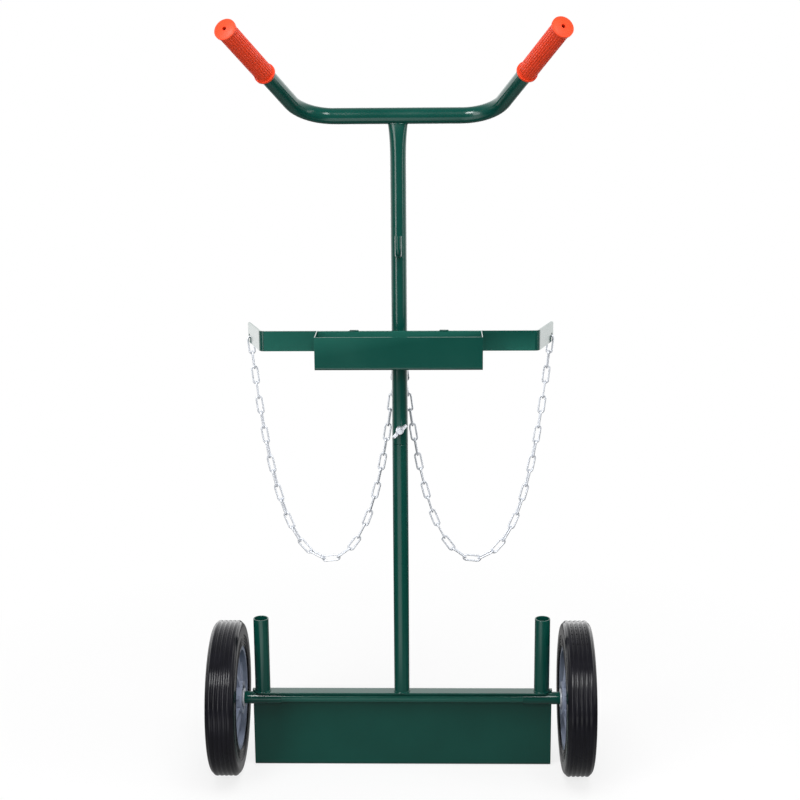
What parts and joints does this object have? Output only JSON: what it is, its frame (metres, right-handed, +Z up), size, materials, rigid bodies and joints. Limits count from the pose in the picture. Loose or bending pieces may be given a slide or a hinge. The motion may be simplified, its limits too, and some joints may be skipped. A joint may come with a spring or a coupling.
{
  "type": "gas cylinder trolley",
  "caption": "Upright gas cylinder trolley with a bent sheet shoe, solid rubber wheels, tube mast, wide handlebar with grips, tool tray and hanging retaining chains.",
  "frame": {"origin": "on the floor, midway between the wheels and midway between the toe plate's free edge and the grips' ends", "axes": "+Z up along the mast, +X to the operator's right, +Y forward over the toe plate"},
  "size_m": [0.6238, 0.4434, 1.2215],
  "materials": {
    "green_paint": "gloss deep green paint",
    "zinc_plate": "bright zinc plate",
    "grip_plastic": "satin orange-red vinyl",
    "rim_plastic": "satin grey-blue moulded plastic",
    "tyre_rubber": "solid black rubber"
  },
  "bodies": {
    "frame": {"base_shoe": "green_paint", "axle_sleeve_left": "green_paint", "axle_sleeve_right": "green_paint", "axle": "green_paint", "axle_washers": "zinc_plate", "split_pins": "zinc_plate", "rod_holder_left": "green_paint", "rod_holder_right": "green_paint", "lower_mast": "green_paint", "mast_spigot": "green_paint", "upper_mast": "green_paint", "mast_bolt": "zinc_plate", "handlebar": "green_paint", "grip_left": "grip_plastic", "grip_right": "grip_plastic", "hose_hook": "green_paint", "crossbar": "green_paint", "tool_tray": "green_paint", "chain_hooks": "green_paint", "chain_end_links": "zinc_plate"},
    "wheel_left": {"rim_left": "rim_plastic", "tyre_left": "tyre_rubber", "hub_bush_left": "zinc_plate"},
    "wheel_right": {"rim_right": "rim_plastic", "tyre_right": "tyre_rubber", "hub_bush_right": "zinc_plate"},
    "wing_nut": {"wing_nut": "zinc_plate"},
    "chain_left": {"chain_left": "zinc_plate"},
    "chain_right": {"chain_right": "zinc_plate"}
  },
  "joints": [
    {"name": "wheel_left_spin", "type": "hinge", "parent": "frame", "child": "wheel_left", "pos_m": [-0.2881, 0.00328, 0.127], "axis": [1, 0, 0], "continuous": true},
    {"name": "wheel_right_spin", "type": "hinge", "parent": "frame", "child": "wheel_right", "pos_m": [0.2881, 0.00328, 0.127], "axis": [1, 0, 0], "continuous": true},
    {"name": "wing_nut_turn", "type": "hinge", "parent": "frame", "child": "wing_nut", "pos_m": [0, -0.015, 0.589], "axis": [0, 1, 0], "continuous": true},
    {"name": "chain_left_swing", "type": "hinge", "parent": "frame", "child": "chain_left", "pos_m": [-0.23851, 0.06063, 0.69885], "axis": [0.9864, -0.1601, -0.0372], "range_deg": [-5, 30]},
    {"name": "chain_right_swing", "type": "hinge", "parent": "frame", "child": "chain_right", "pos_m": [0.23851, 0.06063, 0.69885], "axis": [0.9864, 0.1601, 0.0372], "range_deg": [-5, 30]}
  ]
}
